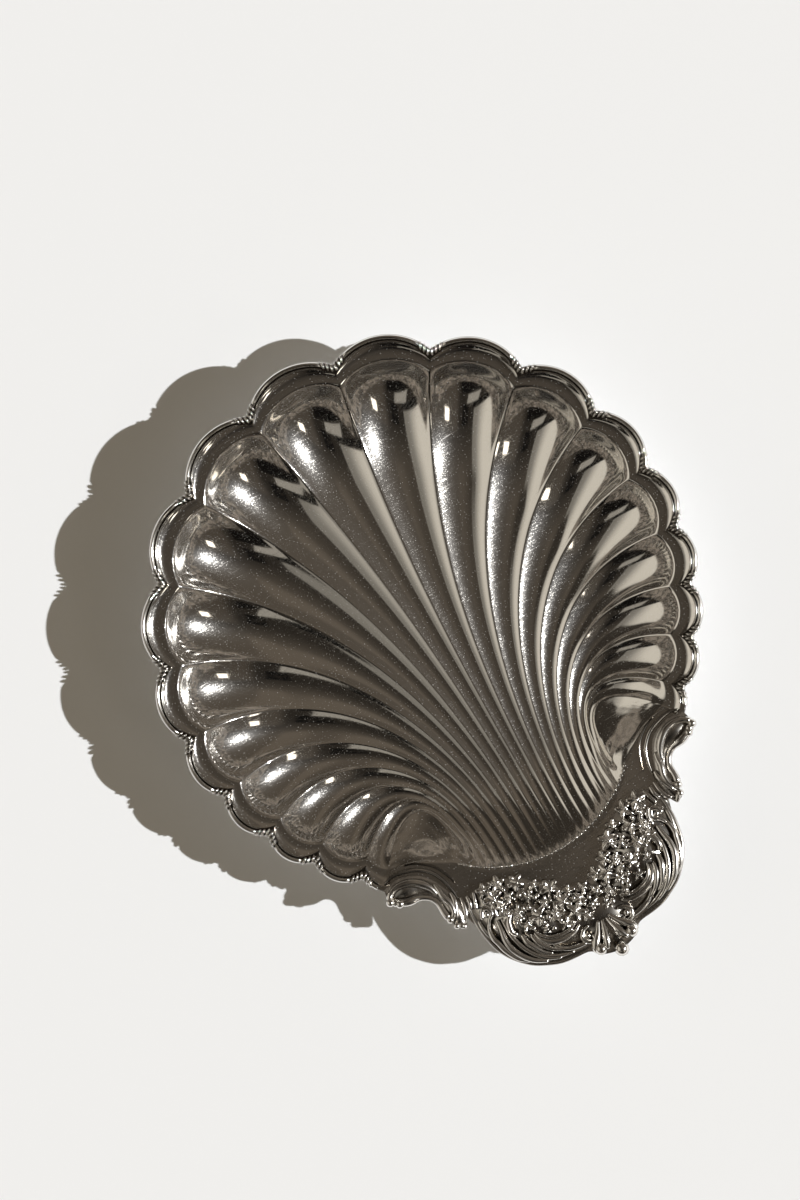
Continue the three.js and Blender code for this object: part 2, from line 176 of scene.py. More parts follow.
def welded(tree, geometry):
    return addNode(tree, "GeometryNodeMergeByDistance", {"Geometry": geometry, "Distance": weldGap}).outputs[0]


def thickened(tree, mesh, way, depth):
    values = {"Mesh": mesh, "Offset": placeAt(tree, 0.0, 0.0, way), "Offset Scale": depth, "Individual": False}
    return addNode(tree, "GeometryNodeExtrudeMesh", values, mode="FACES").outputs[0]


def flipped(tree, mesh):
    return addNode(tree, "GeometryNodeFlipFaces", {"Mesh": mesh}).outputs[0]


def putOn(tree, points, instance, scale, rotation=(0, 0, 0)):
    values = {"Points": points, "Instance": instance, "Scale": scale, "Rotation": rotation}
    return addNode(tree, "GeometryNodeInstanceOnPoints", values).outputs[0]


def joined(tree, *geometries):
    whole = tree.nodes.new("GeometryNodeJoinGeometry")
    for geometry in geometries:
        tree.links.new(geometry, whole.inputs[0])
    return whole.outputs[0]


def finishTree(tree, sink, geometry, material):
    real = addNode(tree, "GeometryNodeRealizeInstances", {"Geometry": geometry})
    # the upward part of each normal, kept for the silver materials, which paint shade on faces turned sideways or down
    upward = fieldAxes(tree, "GeometryNodeInputNormal")[2]
    marked = addNode(tree, "GeometryNodeStoreNamedAttribute", data_type="FLOAT", domain="POINT", values={
        "Geometry": real.outputs[0], "Name": "upward", "Value": upward})
    smooth = addNode(tree, "GeometryNodeSetShadeSmooth", {"Geometry": marked.outputs[0]})
    painted = addNode(tree, "GeometryNodeSetMaterial", {"Geometry": smooth.outputs[0]})
    painted.inputs["Material"].default_value = material
    tree.links.new(painted.outputs[0], sink.inputs["Geometry"])


def meshFromTree(name, tree, values=None, source=None):
    piece = bpy.data.objects.new(name, source or bpy.data.meshes.new(name))
    scene.collection.objects.link(piece)
    modifier = piece.modifiers.new("shape", "NODES")
    modifier.node_group = tree
    for item in tree.interface.items_tree:
        if item.in_out == "INPUT" and item.name in (values or {}):
            modifier[item.identifier] = values[item.name]
    graph = bpy.context.evaluated_depsgraph_get()
    made = bpy.data.meshes.new_from_object(piece.evaluated_get(graph), depsgraph=graph)
    piece.modifiers.remove(modifier)
    piece.data = made
    made.name = name
    paint = [material for material in made.materials if material][0]
    made.materials.clear()
    made.materials.append(paint)
    made.polygons.foreach_set("material_index", [0] * len(made.polygons))
    print(name, len(made.polygons), "faces")
    return piece


def joinPieces(name, pieces):
    whole = bmesh.new()
    for piece in pieces:
        whole.from_mesh(piece.data)
    whole.to_mesh(pieces[0].data)
    whole.free()
    pieces[0].name = name
    for piece in pieces[1:]:
        bpy.data.objects.remove(piece)
    return pieces[0]


def handIn(piece, node):
    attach(piece, "root")
    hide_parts(node)


# silver: fine scratches and dust, shared by every plated surface
wearSize = {
    "Cloud scale": 38.0, "Cloud share": 0.1,
    "Hair scale": (90, 2600, 300), "Hair turns": ((0.4, 1.0), (1.9, 1.4), (2.7, 0.8)), "Hair rest": 0.66,
    "Speck scale": 900.0, "Speck size": 0.11, "Speck rest": 0.62,
    "Grain scale": 2200.0, "Grain rest": 0.57, "Worn roughness": 0.3,
}
dustTone = (0.78, 0.76, 0.72, 1)
# dark tone for the hollows and steep sides of the mounts and border: partly tarnish, partly painted shade
tarnishAndShadeTone = (0.12, 0.1, 0.075, 1)


def silverWear():
    group = bpy.data.node_groups.new("silverWear", "ShaderNodeTree")
    for key in ("Scratch", "Dust", "Cloud"):
        group.interface.new_socket(key, in_out="INPUT", socket_type="NodeSocketFloat").default_value = 0.5
    for key in ("Roughness", "Height", "Dust"):
        group.interface.new_socket(key, in_out="OUTPUT", socket_type="NodeSocketFloat")
    source = group.nodes.new("NodeGroupInput")
    sink = group.nodes.new("NodeGroupOutput")
    scratch, dust, cloud = (Calc(group, source.outputs[key]) for key in ("Scratch", "Dust", "Cloud"))
    where = group.nodes.new("ShaderNodeTexCoord").outputs["Object"]

    def noise(vector, scale, detail):
        node = addNode(group, "ShaderNodeTexNoise", {"Vector": vector, "Scale": scale, "Detail": detail})
        return Calc(group, node.outputs["Fac"])

    haze = noise(where, wearSize["Cloud scale"], 4.0) - 0.5
    wide, fine, deep = wearSize["Hair scale"]
    lines = None
    for turn, stretch in wearSize["Hair turns"]:
        turned = addNode(group, "ShaderNodeMapping", {
            "Vector": where, "Rotation": (0, 0, turn), "Scale": (wide * stretch, fine, deep)})
        line = larger(noise(turned.outputs[0], 1.0, 1.0) - wearSize["Hair rest"], 0.0)
        lines = line if lines is None else lines + line
    specks = addNode(group, "ShaderNodeTexVoronoi", voronoi_dimensions="2D", values={
        "Vector": where, "Scale": wearSize["Speck scale"], "Randomness": 1.0})
    lot = addNode(group, "ShaderNodeSeparateColor", {0: specks.outputs["Color"]})
    near = above(Calc(group, lot.outputs[0]) * wearSize["Speck size"], Calc(group, specks.outputs["Distance"]))
    few = above(Calc(group, lot.outputs[1]), wearSize["Speck rest"])
    rub = larger(noise(where, wearSize["Grain scale"], 2.0) - wearSize["Grain rest"], 0.0) * 9.0
    worn = smaller(rub + lines * 7.0, 1.0) * scratch
    plug(group, sink.inputs["Roughness"], haze * cloud * wearSize["Cloud share"] + worn * wearSize["Worn roughness"])
    plug(group, sink.inputs["Height"], lines * scratch)
    plug(group, sink.inputs["Dust"], near * few * dust)
    return group


wearGroup = silverWear()


# heights between which the dark tone low in the ornament, part tarnish in the hollows and part painted shade, gives way
# to clean metal; faces turned sideways or down keep some painted shade too
def silverMaterial(name, tone, roughness, scratch, dust, cloud, haze, spread, tarnishShadeHeights=None):
    material = bpy.data.materials.new(name)
    material.use_nodes = True
    tree = material.node_tree
    skin = tree.nodes["Principled BSDF"]
    skin.inputs["Coat Weight"].default_value = haze
    skin.inputs["Coat Roughness"].default_value = spread
    wear = addNode(tree, "ShaderNodeGroup", {"Scratch": scratch, "Dust": dust, "Cloud": cloud}, node_tree=wearGroup)
    specks = Calc(tree, wear.outputs["Dust"])

    def eased(value, low, high):
        node = addNode(tree, "ShaderNodeMapRange", {"Value": value, "From Min": low, "From Max": high},
                       interpolation_type="SMOOTHSTEP")
        return Calc(tree, node.outputs["Result"])

    colour = addNode(tree, "ShaderNodeMix", {0: specks, 6: (*tone, 1), 7: dustTone}, data_type="RGBA")
    shade = colour.outputs[2]
    # painted shade mixed with tarnish: the base colour darkens low down and on faces turned sideways or down
    if tarnishShadeHeights:
        height = axesOf(tree, addNode(tree, "ShaderNodeTexCoord").outputs["Object"])[2]
        upward = addNode(tree, "ShaderNodeAttribute", attribute_name="upward")
        clearOfTarnishShade = eased(height, *tarnishShadeHeights) * eased(upward.outputs["Fac"], -0.1, 0.6)
        tarnishShadeMix = addNode(tree, "ShaderNodeMix", {0: clearOfTarnishShade, 6: tarnishAndShadeTone, 7: shade}, data_type="RGBA")
        shade = tarnishShadeMix.outputs[2]
    tree.links.new(shade, skin.inputs["Base Color"])
    rough = Calc(tree, wear.outputs["Roughness"]) + roughness + specks * 0.4
    plug(tree, skin.inputs["Roughness"], clamp(rough, 0.02, 0.8))
    plug(tree, skin.inputs["Metallic"], 1.0 - specks * 0.6)
    bump = addNode(tree, "ShaderNodeBump", {"Height": wear.outputs["Height"], "Strength": 0.12, "Distance": 0.0002})
    tree.links.new(bump.outputs[0], skin.inputs["Normal"])
    return material


# plan of the shell, in metres and radians, shared by the bowl and its border
shellPlan = {
    "Shell radius": 0.110, "Lobes": 8.0, "Lobe mean": math.radians(16.302), "Lobe spread": math.radians(5.3),
    "Ear lobe": math.radians(5.1), "Ear tip": math.radians(0.8), "Rim bulge": 0.225, "Lip bulge": 0.19,
    "Lip inset": 0.0085,
}
heelPlan = {"Heel radius": 0.0573, "Heel setback": 0.0524, "Heel span": math.radians(44.2)}
crestPlan = {"Crest half": 0.047, "Crest near": 0.1076, "Crest depth": 0.051, "Scroll clear": 0.004}
lastRidge = shellPlan["Lobes"] + 1.5
borderStop = lastRidge - 0.3
apexHalf = (shellPlan["Lobe mean"] + shellPlan["Lobe spread"]) / 2
apex = shellPlan["Shell radius"] * (math.cos(apexHalf) + 2 * shellPlan["Rim bulge"] * math.sin(apexHalf))
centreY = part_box("rim_border")[1].y - apex
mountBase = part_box("rim_border")[0].z
mountTop = mountBase + 1.6 * mm
seat = mountBase - 0.3 * mm  # top of the sheet, a solder line under the mounts

silverLooks = {
    "shellSilver": {"tone": (0.88, 0.85, 0.8), "roughness": 0.06, "scratch": 0.55, "dust": 0.8, "cloud": 0.5,
                    "haze": 0.8, "spread": 0.34},
    "borderSilver": {"tone": (0.92, 0.9, 0.86), "roughness": 0.15, "scratch": 0.0, "dust": 0.1, "cloud": 0.6,
                     "haze": 0.4, "spread": 0.3, "tarnishShadeHeights": (mountBase + 0.2 * mm, mountBase + 1.4 * mm)},
    "mountSilver": {"tone": (0.92, 0.89, 0.84), "roughness": 0.19, "scratch": 0.0, "dust": 0.1, "cloud": 0.6,
                    "haze": 0.3, "spread": 0.3, "tarnishShadeHeights": (mountTop - 0.9 * mm, mountTop + 0.6 * mm)},
    "footSilver": {"tone": (0.86, 0.84, 0.8), "roughness": 0.12, "scratch": 0.4, "dust": 0.2, "cloud": 0.6,
                   "haze": 0.9, "spread": 0.4},
}
shellSilver, borderSilver, mountSilver, footSilver = (
    silverMaterial(name, **look) for name, look in silverLooks.items())
print("materials made")


# scalloped line round the shell: inset 0 is the rim, inset 1 the lip of the bowl; trim moves it in square to itself
def rimLineTree():
    tree, size, sink = newTree("rimLine", {"Flute": 0.0, "Inset": 0.0, "Trim": 0.0, **shellPlan}, ("X", "Y", "Angle"))
    lobes, mean, spread = size["Lobes"], size["Lobe mean"], size["Lobe spread"]
    side = abs(size["Flute"])
    part = smaller(side, lobes + 0.5)
    swing = spread / (2.0 * sine(math.pi / 2.0 / lobes))
    angle = mean * part + swing * sine(part * math.pi / lobes)
    angle = angle + size["Ear lobe"] * clamp(side - lobes - 0.5, 0.0, 1.0)
    angle = angle + size["Ear tip"] * larger(side - lobes - 1.5, 0.0)
    lobe = floored(smaller(side, lobes + 0.499) + 0.5)
    ear = above(side, lobes + 0.5)
    width = mean + spread * cosine(lobe * math.pi / lobes)
    half = blend(width / 2.0, size["Ear lobe"], ear)
    off = blend((side - lobe) * width, (lobes + 1.5 - smaller(side, lobes + 1.5)) * size["Ear lobe"], ear)
    notch = size["Shell radius"] - size["Lip inset"] * size["Inset"]
    chord = 2.0 * notch * sine(half)
    rise = blend(size["Rim bulge"], size["Lip bulge"], size["Inset"]) * chord
    arc = chord * chord / (8.0 * rise) + rise / 2.0
    middle = notch * cosine(half) + rise - arc
    across = middle * sine(off)
    arc = arc - size["Trim"]
    far = middle * cosine(off) + root(larger(arc * arc - across * across, 0.0))
    hand = signOf(size["Flute"])
    plug(tree, sink.inputs["X"], far * sine(angle) * hand)
    plug(tree, sink.inputs["Y"], far * cosine(angle))
    plug(tree, sink.inputs["Angle"], angle * hand)
    return tree


rimLine = rimLineTree()


# plan line of one flute from the heel to the lip, whole numbers are troughs and halves are ridges
def fluteLineTree():
    tree, size, sink = newTree("fluteLine", {"Flute": 0.0, "Along": 0.5, **shellPlan, **heelPlan},
                               ("X", "Y", "From heel", "From lip", "From ear"))
    t = size["Along"]
    side = smaller(abs(size["Flute"]), size["Lobes"] + 1.5)
    share = side / (size["Lobes"] + 1.5)
    unit = size["Shell radius"] / 0.110
    plan = {key: size[key] for key in shellPlan}
    turn = size["Heel span"] * side / (size["Lobes"] + 2.5)
    startX = size["Heel radius"] * sine(turn)
    startY = -size["Heel setback"] - size["Heel radius"] * cosine(turn)
    end = useTree(tree, rimLine, {"Flute": side, "Inset": 1.0, **plan})
    leave = blend(0.095, 0.040, share) * unit
    arrive = size["Shell radius"] - size["Lip inset"] - blend(0.070, 0.020, share) * unit
    x = bezier(startX, startX - 0.1 * share * leave, arrive * sine(end["Angle"]), end["X"], t)
    y = bezier(startY, startY + leave, arrive * cosine(end["Angle"]), end["Y"], t)
    earSide = size["Lobes"] + 2.5
    earX = size["Heel radius"] * sine(size["Heel span"])
    earY = -size["Heel setback"] - size["Heel radius"] * cosine(size["Heel span"])
    tip = useTree(tree, rimLine, {"Flute": earSide, "Inset": 1.0, **plan})
    edgeX = bezier(earX, earX + 0.0065 * unit, tip["X"] - 0.0087 * unit, tip["X"], t)
    edgeY = bezier(earY, earY + 0.0062 * unit, tip["Y"] + 0.0004 * unit, tip["Y"], t)
    pocket = larger(abs(size["Flute"]) - size["Lobes"] - 1.5, 0.0)
    x = blend(x, edgeX, pocket)
    y = blend(y, edgeY, pocket)
    heelX, heelY = blend(startX, earX, pocket), blend(startY, earY, pocket)
    lipX, lipY = blend(end["X"], tip["X"], pocket), blend(end["Y"], tip["Y"], pocket)
    plug(tree, sink.inputs["From heel"], reach(x - heelX, y - heelY))
    plug(tree, sink.inputs["From lip"], reach(x - lipX, y - lipY))
    plug(tree, sink.inputs["From ear"], reach(x - edgeX, y - edgeY))
    plug(tree, sink.inputs["X"], x * signOf(size["Flute"]))
    plug(tree, sink.inputs["Y"], y)
    return tree


fluteLine = fluteLineTree()
print("plan lines ready")

# fluted bowl with its concave band and heel ledge, one sheet
shellSize = {
    "Flute columns": 14, "Bowl rows": 92, "Band rows": 14, "Seat": seat, "Band rise": 0.0015,
    "Bowl depth": 0.0146, "Lip run": 0.045, "Heel run": 0.042, "Ear run": 0.016,
    "Flute share": 0.165, "Lip ridge": 0.07, "Heel ridge": 0.26, "Scoop run": 0.004,
    "Lip round": 0.0012, "Sheet inset": 0.0005, "Wall": 0.0013,
    "Heel share": 0.42, "Heel settle": 0.4, "Ridge settle": 0.22, "Column crowd": 1.7,
    "Heel scoop": 0.003, "Ear scoop": 0.004, "Pocket scoop": 0.002,
    "Band turn": 0.69, "Band curve": 5.0, "Ledge turn": 0.03,
    "Ripple": 0.00011, "Ripple pitch": 0.0032, "Dash length": 0.0009, "Dash width": 0.0007,
}


def shellTree():
    tree, size, sink = newTree("shellSheet", {**shellSize, **shellPlan, **heelPlan, **crestPlan})
    plan = {key: size[key] for key in shellPlan}
    lines = {**plan, **{key: size[key] for key in heelPlan}}
    unit = size["Shell radius"] / 0.110
    edge = size["Lobes"] + 2.5
    columns = (edge * 2.0 + 2.0) * size["Flute columns"] + 1.0
    rows = size["Bowl rows"] + size["Band rows"] * 2.0 + 1.0
    gridX, gridY, _ = fieldAxes(tree, "GeometryNodeInputPosition")
    flute = gridX * (edge * 2.0 + 2.0)
    row = (gridY + 0.5) * (rows - 1.0)
    ledge = clamp(row / size["Band rows"], 0.0, 1.0)
    inner = clamp((row - size["Band rows"]) / size["Bowl rows"], 0.0, 1.0)
    band = clamp((row - size["Band rows"] - size["Bowl rows"]) / size["Band rows"], 0.0, 1.0)
    along = (1.0 - cosine(inner * math.pi)) / 2.0
    inside = clamp(flute, -edge, edge)
    trough = clamp(floored(inside + 0.5), 0.5 - edge, edge - 0.5)
    offset = (inside - trough) * 2.0
    across = 1.0 - power(1.0 - smaller(abs(offset), 1.0), size["Column crowd"])  # towards the ridges
    inside = trough + across * signOf(offset) / 2.0
    here = useTree(tree, fluteLine, {"Flute": inside, "Along": along, **lines})
    left = useTree(tree, fluteLine, {"Flute": trough - 0.5, "Along": along, **lines})
    right = useTree(tree, fluteLine, {"Flute": trough + 0.5, "Along": along, **lines})
    width = reach(right["X"] - left["X"], right["Y"] - left["Y"])
    ridge = blend(size["Heel ridge"], size["Lip ridge"], settle(along, size["Ridge settle"]))
    hollow = 1.0 - across * across
    cap = ridge + (1.0 - ridge) * (1.0 - across) * (1.0 - across) / ridge
    shape = blend(hollow, cap, above(across, 1.0 - ridge))
    fromLip = here["From lip"] - 0.75 * size["Lip round"] * settle(here["From lip"], size["Lip round"])
    drop = size["Bowl depth"] * cove(here["From heel"], size["Heel run"]) * cove(fromLip, size["Lip run"])
    drop = drop * cove(here["From ear"], size["Ear run"])
    ends = settle(fromLip, size["Scoop run"]) * settle(here["From ear"], size["Ear scoop"])
    ends = ends * (0.45 + 0.55 * settle(here["From heel"], size["Heel scoop"]))
    ends = ends * (1.0 - 0.6 * above(abs(trough), edge - 1.0))  # the ear pocket is nearly plain
    share = size["Flute share"] * blend(size["Heel share"], 1.0, settle(along, size["Heel settle"]))
    drop = drop + share * width * shape * ends
    pocket = clamp((abs(inside) - edge + 1.0) * 4.0, 0.0, 1.0) * settle(here["From ear"], size["Pocket scoop"])
    wave = sine(here["From ear"] / size["Ripple pitch"] * 2.0 * math.pi + along * 3.0)
    drop = drop + size["Ripple"] * pocket * wave
    level = size["Seat"] - size["Band rise"] * along * along * (3.0 - 2.0 * along)
    # outer edge of the sheet: rim, ear and heel sides
    rim = useTree(tree, rimLine, {"Flute": inside, "Trim": size["Sheet inset"], **plan})
    clear = size["Sheet inset"] + 0.02 * mm  # keeps the ear side off the end of the band
    ear = useTree(tree, rimLine, {"Flute": edge, "Trim": clear, **plan})
    hand = signOf(inside)
    waistX = size["Crest half"] + size["Scroll clear"] / 2.0
    waistY = -size["Crest near"] - 0.027 * size["Crest depth"]
    earT = 1.0 - along
    thirdX, thirdY = blend(ear["X"], waistX, 1 / 3), blend(ear["Y"], waistY, 1 / 3)
    nextX, nextY = blend(ear["X"], waistX, 2 / 3), blend(ear["Y"], waistY, 2 / 3)
    earX = bezier(ear["X"], thirdX, nextX - 0.0045 * unit, waistX, earT) * hand
    earY = bezier(ear["Y"], thirdY - 0.0027 * unit, nextY, waistY, earT)
    heelT = 1.0 - abs(inside) / edge
    tailY = -size["Crest near"] - 0.84 * size["Crest depth"]
    heelX = bezier(waistX, size["Crest half"], 0.85 * size["Crest half"], 0.0, heelT) * hand
    heelY = bezier(waistY, -size["Crest near"] - 0.28 * size["Crest depth"], tailY, tailY, heelT)
    onRim = above(band, 0.0)
    onHeel = above(1.0 - ledge, 0.0)
    outX = blend(blend(earX, heelX, onHeel), rim["X"], onRim)
    outY = blend(blend(earY, heelY, onHeel), rim["Y"], onRim)
    shelf = larger(1.0 - ledge, clamp(abs(flute) - edge, 0.0, 1.0))
    shelf = shelf * shelf * (1.0 - onRim)
    out = larger(band, shelf)
    bandClimb = power(band / size["Band turn"], size["Band curve"])
    climb = smaller(blend(shelf / size["Ledge turn"], bandClimb, onRim), 1.0)
    z = blend(level - drop, size["Seat"], climb)
    x, y = blend(here["X"], outX, out), blend(here["Y"], outY, out) + centreY
    top = welded(tree, moved(tree, unitGrid(tree, columns, rows), x, y, z))
    under = flipped(tree, thickened(tree, top, -1.0, size["Wall"]))
    whole = welded(tree, joined(tree, under, top))
    # beaded edge of the heel, two dashes at the end of each flute
    dots = addNode(tree, "GeometryNodeMeshLine", {"Count": edge * 4.0, "Offset": (0, 0, 0)})
    number = (Calc(tree, addNode(tree, "GeometryNodeInputIndex").outputs[0]) + 0.5) / 2.0 - edge
    end = useTree(tree, fluteLine, {"Flute": number, "Along": 0.0, **lines})
    spots = moved(tree, dots.outputs[0], end["X"], end["Y"] + centreY, size["Seat"] + size["Dash width"] * 0.4)
    dash = placeAt(tree, size["Dash length"], size["Dash width"], size["Dash width"])
    heading = placeAt(tree, 0.0, 0.0, number / edge * size["Heel span"])
    dashes = putOn(tree, spots, unitBall(tree, 10, 6), dash, heading)
    finishTree(tree, sink, joined(tree, whole, dashes), shellSilver)
    return tree


handIn(meshFromTree("shellSheet", shellTree()), "shell_body")
print("shell made")

# moulded border on the rim: an outer roll, a groove and a fine inner bead, with ties at the notches
borderSize = {
    "Lobe columns": 40, "Section rows": 34, "Ties": 6, "Border width": 0.0033, "Roll height": 0.0018,
    "Tie length": 0.002, "Tie width": 0.00065, "Tie height": 0.0013, "Tie pitch": 0.0019, "Tie dip": 0.6,
    "Tie slant": 0.6, "Tie inset": 0.0013, "Tie line": 0.0012, "Base": mountBase, "Stop": borderStop,
}


def borderTree():
    tree, size, sink = newTree("rimBorder", {**borderSize, **shellPlan})
    plan = {key: size[key] for key in shellPlan}
    columns = floored(size["Stop"] * 2.0 * size["Lobe columns"]) + 1.0
    rows = size["Section rows"]
    gridX, gridY, _ = fieldAxes(tree, "GeometryNodeInputPosition")
    flute = gridX * 2.0 * size["Stop"]
    row = floored((gridY + 0.5) * rows + 0.5)
    share = clamp(1.0 - (row - 1.0) / (rows - 3.0), 0.0, 1.0)
    share = larger(share, above(row, rows - 0.5))
    onTop = above(row, 0.5) * above(rows - 1.5, row)
    height = larger(larger(dome(share, 0.34, 0.34, 1.0), dome(share, 0.87, 0.13, 0.6)), 0.15)
    full = clamp((size["Stop"] - abs(flute)) / 0.02, 0.0, 1.0)
    trim = blend(size["Border width"] / 2.0, 0.0001 + size["Border width"] * share, full)
    line = useTree(tree, rimLine, {"Flute": flute, "Trim": trim, **plan})
    # the roll dips at the notches, under the ties
    lobe = floored(abs(flute) + 0.5)
    width = size["Lobe mean"] + size["Lobe spread"] * cosine(lobe * math.pi / size["Lobes"])
    length = 1.15 * size["Shell radius"] * width
    fromNotch = (0.5 - abs(abs(flute) - lobe)) * length / size["Tie pitch"]
    height = height * (1.0 - size["Tie dip"] * (1.0 - clamp(fromNotch - 2.6, 0.0, 1.0)))
    z = size["Base"] + size["Roll height"] * height * onTop * full
    grid = unitGrid(tree, columns, rows + 1.0)
    bead = welded(tree, moved(tree, grid, line["X"], line["Y"] + centreY, z))
    # ties: oblique ridges over the roll, mirrored about each notch
    notches = size["Lobes"] * 2.0 + 2.0
    points = addNode(tree, "GeometryNodeMeshLine", {"Count": notches * size["Ties"], "Offset": (0, 0, 0)})
    index = Calc(tree, addNode(tree, "GeometryNodeInputIndex").outputs[0])
    notch = floored((index + 0.5) / size["Ties"])
    step = index - notch * size["Ties"] - (size["Ties"] - 1.0) / 2.0
    hand = signOf(step)
    at = notch - size["Lobes"] - 0.5
    near = useTree(tree, rimLine, {"Flute": at + hand * 0.05, "Trim": size["Tie line"], **plan})
    far = useTree(tree, rimLine, {"Flute": at + hand * 0.15, "Trim": size["Tie line"], **plan})
    speed = reach(far["X"] - near["X"], far["Y"] - near["Y"]) / 0.1
    flute = at + step * size["Tie pitch"] / speed
    here, before, after = (
        useTree(tree, rimLine, {"Flute": flute + shift, "Trim": size["Tie inset"], **plan})
        for shift in (0.0, -0.01, 0.01))
    heading = sums(tree, "ARCTAN2", after["Y"] - before["Y"], after["X"] - before["X"])
    spots = moved(tree, points.outputs[0], here["X"], here["Y"] + centreY, size["Base"] + size["Tie height"] * 0.85)
    oblique = placeAt(tree, 0.0, 0.0, heading + math.pi / 2.0 - hand * size["Tie slant"])
    tie = placeAt(tree, size["Tie length"], size["Tie width"], size["Tie height"])
    ties = putOn(tree, spots, unitBall(tree, 8, 6), tie, oblique)
    finishTree(tree, sink, joined(tree, bead, ties), borderSilver)
    return tree


handIn(meshFromTree("rimBorder", borderTree()), "rim_border")
print("border made")


# ornament: rolls and leaf strands follow plan lines, flowers and beads sit on points
def flow(points, count):
    corners = [np.array(points[0])] + [np.array(p) for p in points] + [np.array(points[-1])]
    dense = []
    for a, b, c, d in zip(corners, corners[1:], corners[2:], corners[3:]):
        for t in np.linspace(0, 1, 12, endpoint=False):
            bend, twist = 2 * a - 5 * b + 4 * c - d, 3 * b - 3 * c + d - a
            dense.append(0.5 * (2 * b + (c - a) * t + bend * t ** 2 + twist * t ** 3))
    dense = np.array(dense + [corners[-1]])
    gone = np.concatenate([[0], np.cumsum(np.linalg.norm(np.diff(dense, axis=0), axis=1))])
    even = np.linspace(0, gone[-1], count)
    return np.stack([np.interp(even, gone, dense[:, i]) for i in range(2)], axis=1), gone[-1]


def girthMesh(name, points, edges, girths):
    mesh = bpy.data.meshes.new(name)
    mesh.from_pydata(points, edges, [])
    mesh.attributes.new("girth", "FLOAT", "POINT").data.foreach_set("value", girths)
    return mesh


def pathMesh(name, straps):
    points, edges, girths = [], [], []
    kernel = np.ones(9) / 9
    for line, widths, lift in straps:
        count = 8 + 7 * len(line)
        spots, length = flow(line, count)
        share = np.linspace(0, 1, count)
        girth = np.interp(share, np.linspace(0, 1, len(widths)), widths)
        girth = np.convolve(np.pad(girth, 4, mode="edge"), kernel, mode="valid")
        edge = np.minimum(share, 1 - share) * length
        rounding = np.sqrt(np.clip(1 - np.clip(1 - edge / girth, 0, 1) ** 2, 0.004, 1))
        start = len(points)
        for (x, y), g, r in zip(spots, girth, rounding):
            points.append((x, y, max(lift + g * 0.3, mountBase + g)))
            girths.append(g * r)
        edges += [(i, i + 1) for i in range(start, len(points) - 1)]
    return girthMesh(name, points, edges, girths)


# what the four kinds of ornament are made with
strapSize = {"Ring": 12, "Flatten": 1.0}
plateSize = {"Thickness": 0.0016, "Base": mountBase}
flowerSize = {
    "Petals": 5.0, "Lobe": 0.4, "Height": 0.42, "Groove": 0.75, "Cup": 0.26, "Eye": 0.3, "Eye spread": 0.05,
    "Tilt": 0.35, "Turn": 6.28, "Seed": 7,
}
beadSize = {"Segments": 10, "Rings": 7}


def strapTree(material):
    tree, size, sink = newTree("straps", strapSize, takesMesh=True)
    line = addNode(tree, "GeometryNodeMeshToCurve", {"Mesh": size["Geometry"]})
    upright = addNode(tree, "GeometryNodeSetCurveNormal", {"Curve": line.outputs[0]}, mode="Z_UP")
    ring = addNode(tree, "GeometryNodeCurvePrimitiveCircle", {"Resolution": size["Ring"], "Radius": 1.0})
    flat = placeAt(tree, 1.0, size["Flatten"], 1.0)
    oval = addNode(tree, "GeometryNodeTransform", {"Geometry": ring.outputs[0], "Scale": flat})
    girth = attribute(tree, "girth")
    swept = addNode(tree, "GeometryNodeCurveToMesh", {
        "Curve": upright.outputs[0], "Profile Curve": oval.outputs[0], "Scale": girth, "Fill Caps": True})
    finishTree(tree, sink, swept.outputs[0], material)
    return tree


def plateTree(material):
    tree, size, sink = newTree("plate", plateSize, takesMesh=True)
    line = addNode(tree, "GeometryNodeMeshToCurve", {"Mesh": size["Geometry"]})
    flat = addNode(tree, "GeometryNodeFillCurve", {"Curve": line.outputs[0]}, mode="TRIANGLES")
    lift = placeAt(tree, 0.0, 0.0, size["Base"])
    low = addNode(tree, "GeometryNodeTransform", {"Geometry": flat.outputs[0], "Translation": lift}).outputs[0]
    high = thickened(tree, low, 1.0, size["Thickness"])
    finishTree(tree, sink, welded(tree, joined(tree, flipped(tree, low), high)), material)
    return tree


# flower: a low dome pressed into petals round an eye, put on each point with its own size and turn
def flowerTree(material):
    tree, size, sink = newTree("flowers", flowerSize, takesMesh=True)
    x, y, z = fieldAxes(tree, "GeometryNodeInputPosition")
    out = reach(x, y)
    gap = (1.0 - cosine(sums(tree, "ARCTAN2", y, x) * size["Petals"])) / 2.0
    wide = 1.0 - size["Lobe"] * gap * out
    top = above(z, 0.0)
    eye = sums(tree, "EXPONENT", -(out * out) / size["Eye spread"])
    crown = size["Eye"] * eye + size["Cup"] * out * out * (1.0 - gap)
    tall = z * size["Height"] * (1.0 - size["Groove"] * gap * out) + crown * top
    daisy = moved(tree, unitBall(tree, 40, 14), x * wide, y * wide, tall)
    girth = attribute(tree, "girth")
    spots = addNode(tree, "GeometryNodeMeshToPoints", {"Mesh": size["Geometry"]})
    least = placeAt(tree, -size["Tilt"], -size["Tilt"], 0.0)
    most = placeAt(tree, size["Tilt"], size["Tilt"], size["Turn"])
    lean = addNode(tree, "FunctionNodeRandomValue", data_type="FLOAT_VECTOR", values={
        "Min": least, "Max": most, "Seed": size["Seed"]})
    put = putOn(tree, spots.outputs[0], daisy, placeAt(tree, girth, girth, girth), lean.outputs[0])
    finishTree(tree, sink, put, material)
    return tree


def beadTree(material):
    tree, size, sink = newTree("beads", beadSize, takesMesh=True)
    spots = addNode(tree, "GeometryNodeMeshToPoints", {"Mesh": size["Geometry"]})
    girth = attribute(tree, "girth")
    ball = unitBall(tree, size["Segments"], size["Rings"])
    finishTree(tree, sink, putOn(tree, spots.outputs[0], ball, placeAt(tree, girth, girth, girth)), material)
    return tree


